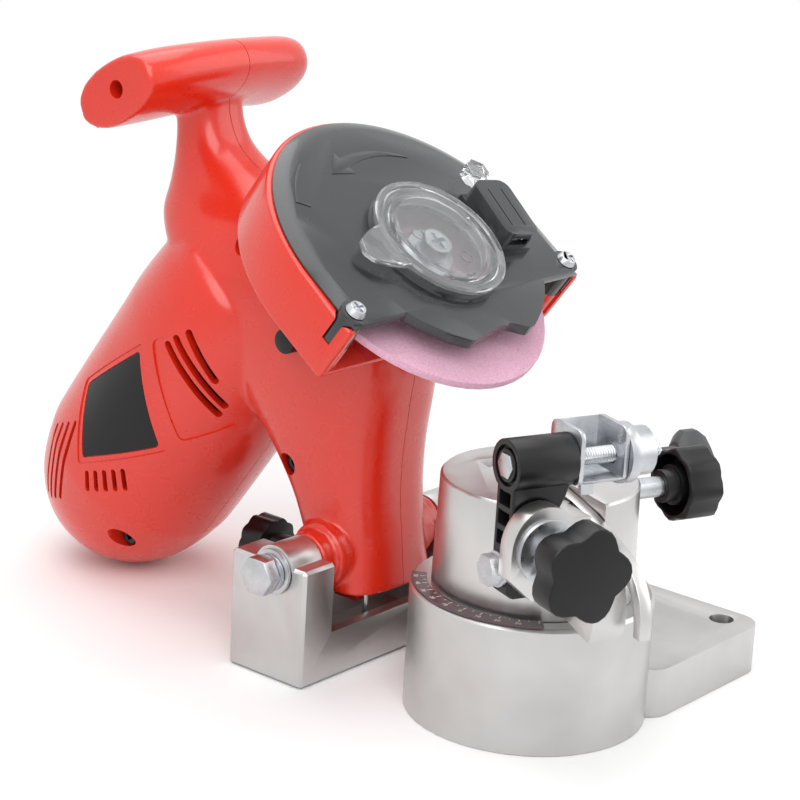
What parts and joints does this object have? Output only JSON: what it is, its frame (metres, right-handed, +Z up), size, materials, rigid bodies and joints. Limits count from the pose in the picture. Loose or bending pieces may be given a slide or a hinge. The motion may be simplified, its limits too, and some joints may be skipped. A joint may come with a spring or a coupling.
{
  "type": "chainsaw sharpener",
  "caption": "Bench chainsaw sharpener: hinged motor head with a guarded grinding wheel and T handle over a cast base with a turning chain vise.",
  "frame": {"origin": "on the base's underside, on the axis of the vise's turntable", "axes": "+X along the head's pivot bolt to the operator's right, +Y away from the operator, +Z up"},
  "size_m": [0.1652, 0.305, 0.2189],
  "materials": {
    "cast_aluminium": "die cast, satin",
    "plated_steel": "zinc plated",
    "red_plastic": "gloss moulded red",
    "black_plastic": "satin moulded black",
    "clear_plastic": "clear moulded",
    "pink_abrasive": "vitrified abrasive",
    "scale_metal": "printed thin metal",
    "copper": "machined copper",
    "core_steel": "laminated core",
    "belt_rubber": "moulded rubber",
    "grey_plastic": "moulded dark grey",
    "carbon": "pressed carbon",
    "bare_plate": "thin plate, painted black, bare of print"
  },
  "bodies": {
    "base": {"base_casting": "cast_aluminium", "angle_scale_plate": "scale_metal", "pivot_bolt": "plated_steel", "pivot_washer_left": "plated_steel", "pivot_spring_washer": "plated_steel", "pivot_washer_right": "plated_steel", "pivot_nut": "plated_steel", "depth_lock_nut": "plated_steel", "return_spring": "plated_steel"},
    "depth_stop": {"depth_screw": "plated_steel", "depth_knob": "black_plastic"},
    "head": {"housing_left": "red_plastic", "housing_right": "red_plastic", "housing_screw_neck": "plated_steel", "housing_screw_foot": "plated_steel", "housing_screw_barrel": "plated_steel", "rating_plate": "bare_plate", "motor_stator": "core_steel", "motor_bearing_front": "plated_steel", "motor_bearing_rear": "plated_steel", "brush_left": "carbon", "brush_right": "carbon", "brush_holder_left": "copper", "brush_holder_right": "copper", "spindle_bearing_front": "plated_steel", "spindle_bearing_rear": "plated_steel", "drive_belt": "belt_rubber", "guard_cover": "black_plastic", "cover_screw_left": "plated_steel", "cover_screw_right": "plated_steel"},
    "motor_rotor": {"armature": "core_steel", "commutator": "copper", "cooling_fan": "black_plastic", "motor_pulley": "plated_steel"},
    "wheel": {"spindle": "plated_steel", "spindle_pulley": "plated_steel", "wheel_flange_inner": "plated_steel", "grinding_wheel": "pink_abrasive", "wheel_flange_outer": "plated_steel", "wheel_screw": "plated_steel"},
    "cap": {"clear_cap": "clear_plastic"},
    "latch": {"latch_slide": "clear_plastic"},
    "trigger_key": {"trigger": "black_plastic"},
    "lock_button": {"spindle_lock_button": "black_plastic"},
    "turntable": {"vise_drum": "cast_aluminium", "arm_pivot_bolt": "plated_steel", "stop_washer": "plated_steel"},
    "jaw": {"moving_jaw": "cast_aluminium"},
    "lever": {"clamp_lever": "grey_plastic"},
    "angle_lock": {"angle_lock_stud": "plated_steel", "angle_lock_knob": "black_plastic"},
    "feed_knob": {"star_knob": "black_plastic", "stop_screw": "plated_steel"},
    "arm": {"stop_arm": "black_plastic", "cross_bolt": "plated_steel", "cross_nut": "plated_steel"},
    "pawl": {"chain_stop": "plated_steel"}
  },
  "joints": [
    {"name": "head_tilt", "type": "hinge", "parent": "base", "child": "head", "pos_m": [0, 0.078, 0.042], "axis": [1, 0, 0], "range_deg": [0, 17], "stiffness_Nm_per_rad": 0.45, "springref_deg": -22.92, "deforming": ["return_spring"]},
    {"name": "depth_turn", "type": "hinge", "parent": "base", "child": "depth_stop", "pos_m": [0, 0.092, 0.027], "axis": [0, 1, 0], "range_deg": [-360, 360]},
    {"name": "motor_spin", "type": "hinge", "parent": "head", "child": "motor_rotor", "pos_m": [0, 0.09952, 0.17563], "axis": [0, -0.5878, 0.809], "continuous": true},
    {"name": "wheel_spin", "type": "hinge", "parent": "head", "child": "wheel", "pos_m": [0, 0.0615, 0.148], "axis": [0, -0.5878, 0.809], "continuous": true},
    {"name": "cap_twist", "type": "hinge", "parent": "head", "child": "cap", "pos_m": [0, 0.0615, 0.148], "axis": [0, -0.5878, 0.809], "range_deg": [0, 30]},
    {"name": "latch_pull", "type": "slide", "parent": "head", "child": "latch", "axis": [0.165, 0.7979, 0.5797], "range_m": [0, 0.006]},
    {"name": "trigger_press", "type": "slide", "parent": "head", "child": "trigger_key", "axis": [0, -1, 0], "range_m": [0, 0.003], "stiffness_N_per_m": 400, "springref_m": -0.002},
    {"name": "lock_press", "type": "slide", "parent": "head", "child": "lock_button", "axis": [1, 0, 0], "range_m": [0, 0.003], "stiffness_N_per_m": 300, "springref_m": -0.002},
    {"name": "vise_turn", "type": "hinge", "parent": "base", "child": "turntable", "pos_m": [0, 0, 0.0466], "axis": [0, 0, 1], "range_deg": [-13, 57]},
    {"name": "jaw_close", "type": "slide", "parent": "turntable", "child": "jaw", "axis": [-0.9272, 0.3746, 0], "range_m": [0, 0.0008]},
    {"name": "clamp_turn", "type": "hinge", "parent": "turntable", "child": "lever", "pos_m": [0.07221, -0.00814, 0.08], "axis": [0.9272, -0.3746, 0], "range_deg": [0, 60]},
    {"name": "angle_lock_turn", "type": "hinge", "parent": "turntable", "child": "angle_lock", "pos_m": [0.05563, -0.02248, 0.0773], "axis": [0.9272, -0.3746, 0], "range_deg": [-45, 180]},
    {"name": "feed_turn", "type": "hinge", "parent": "turntable", "child": "feed_knob", "pos_m": [-0.05282, -0.052, 0.081], "axis": [-0.3746, -0.9272, 0], "range_deg": [0, 200]},
    {"name": "arm_tilt", "type": "hinge", "parent": "turntable", "child": "arm", "pos_m": [-0.04224, -0.02446, 0.071], "axis": [-0.9272, 0.3746, 0], "range_deg": [0, 4]},
    {"name": "pawl_swing", "type": "hinge", "parent": "arm", "child": "pawl", "pos_m": [-0.01998, -0.03345, 0.1068], "axis": [-0.9272, 0.3746, 0], "range_deg": [0, 70]}
  ],
  "couplings": [
    {"joint": "wheel_spin", "follows": "motor_spin", "ratio": 0.625},
    {"joint": "clamp_turn", "follows": "jaw_close", "rad_per_m": 1308},
    {"joint": "arm_tilt", "follows": "feed_turn", "ratio": 0.0199}
  ]
}
